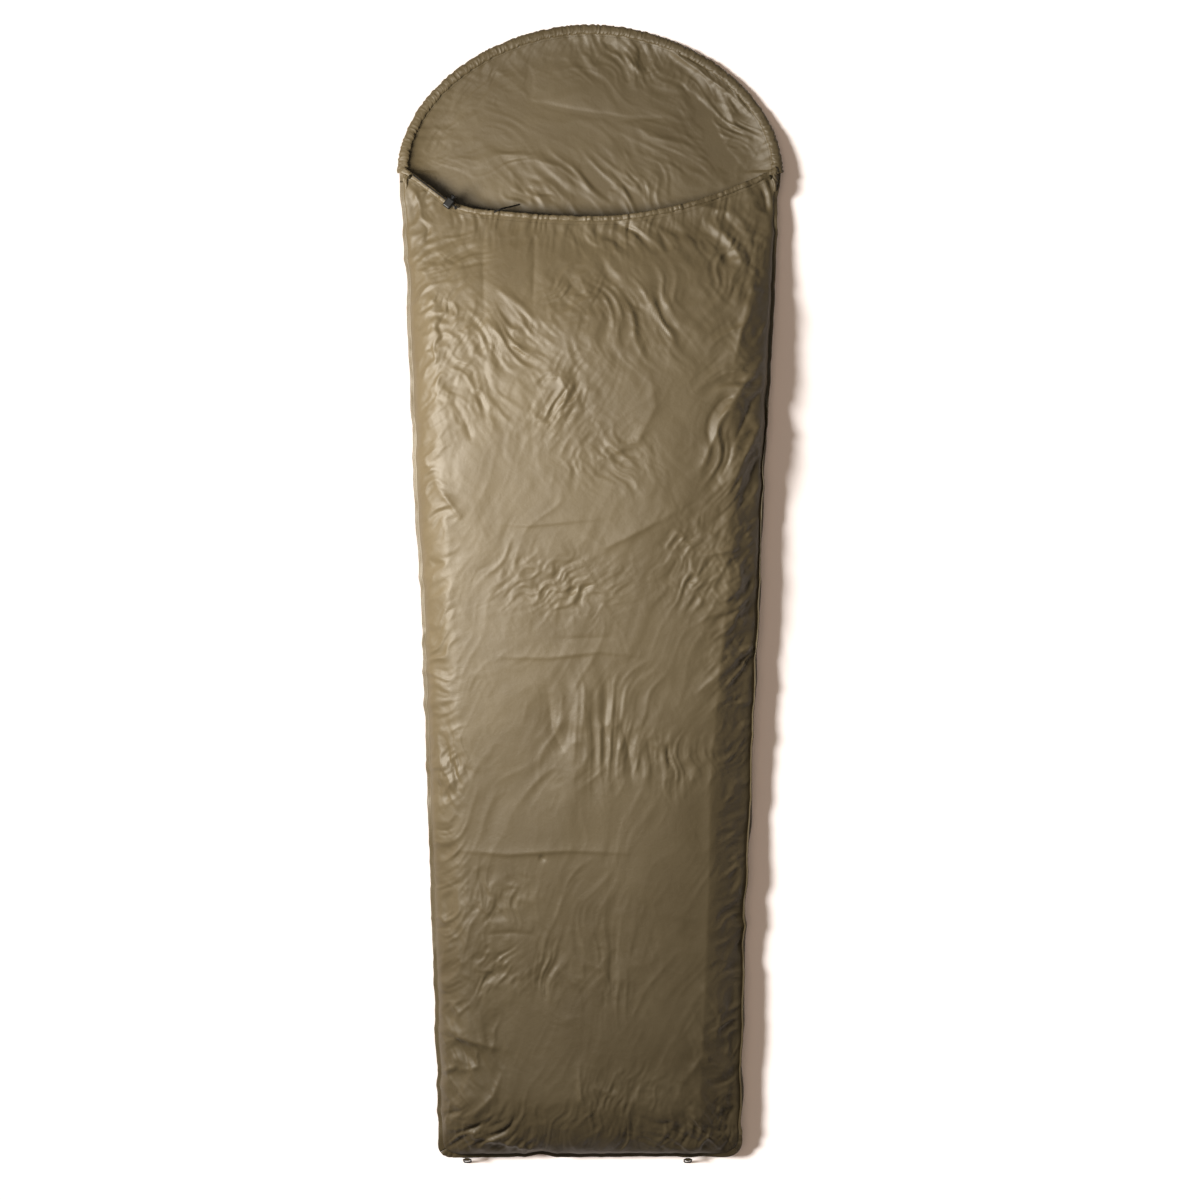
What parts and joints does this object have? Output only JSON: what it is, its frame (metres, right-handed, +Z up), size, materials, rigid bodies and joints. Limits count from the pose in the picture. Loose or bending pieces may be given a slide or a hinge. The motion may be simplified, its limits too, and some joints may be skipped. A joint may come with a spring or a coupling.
{
  "type": "bivy sack",
  "caption": "Tapered one-person bivy sack of coated cloth, lying flat, with a drawcord hood, a scooped neckline hem, a cord lock and peg loops at the foot.",
  "frame": {"origin": "on the ground, at the middle of the bag's length and width", "axes": "+Y towards the hood, +Z up, +X across the bag"},
  "size_m": [0.7522, 2.2481, 0.0918],
  "materials": {
    "shell_cloth": "coated ripstop-free nylon, olive drab, soft sheen",
    "seam_tape": "translucent grey waterproof tape, satin",
    "bartack_thread": "dense olive thread",
    "drawcord": "black braided cord",
    "peg_loop_cord": "black braided cord",
    "lock_plastic": "black moulded plastic",
    "spring_steel": "drawn wire"
  },
  "bodies": {
    "bag": {"base_panel": "shell_cloth", "top_panel": "shell_cloth", "side_seam_left": "shell_cloth", "side_seam_right": "shell_cloth", "foot_seam": "shell_cloth", "seam_tape_left": "seam_tape", "seam_tape_right": "seam_tape", "seam_tape_foot": "seam_tape", "corner_bartacks": "bartack_thread", "neck_hem": "shell_cloth", "neck_drawcord": "drawcord", "drawcord_span": "drawcord", "cord_exit_bartack": "bartack_thread", "hem_end_bartack": "bartack_thread", "drawcord_knot": "drawcord", "drawcord_tail": "drawcord", "peg_loop_tack_left": "bartack_thread", "peg_loop_tack_right": "bartack_thread"},
    "hood": {"hood_panel": "shell_cloth", "hood_hem": "shell_cloth", "hood_drawcord": "drawcord"},
    "cord_lock": {"lock_body": "lock_plastic", "lock_spring": "spring_steel"},
    "plunger": {"lock_plunger": "lock_plastic"},
    "peg_loop_l": {"peg_loop_left": "peg_loop_cord"},
    "peg_loop_r": {"peg_loop_right": "peg_loop_cord"}
  },
  "joints": [
    {"name": "hood_fold", "type": "hinge", "parent": "bag", "child": "hood", "pos_m": [0, 0.838, 0.025], "axis": [1, 0, 0], "range_deg": [0, 125]},
    {"name": "cord_lock_slide", "type": "slide", "parent": "bag", "child": "cord_lock", "axis": [-0.7872, 0.6078, -0.1046], "range_m": [0, 0.045]},
    {"name": "lock_plunger_press", "type": "slide", "parent": "cord_lock", "child": "plunger", "axis": [-0.6112, -0.7915, 0], "range_m": [0, 0.0035], "stiffness_N_per_m": 400, "springref_m": -0.002, "deforming": ["lock_spring"]},
    {"name": "peg_loop_left_swing", "type": "hinge", "parent": "bag", "child": "peg_loop_l", "pos_m": [-0.242, -1.113, 0.026], "axis": [-1, 0, 0], "range_deg": [0, 150]},
    {"name": "peg_loop_right_swing", "type": "hinge", "parent": "bag", "child": "peg_loop_r", "pos_m": [0.193, -1.113, 0.026], "axis": [-1, 0, 0], "range_deg": [0, 150]}
  ]
}
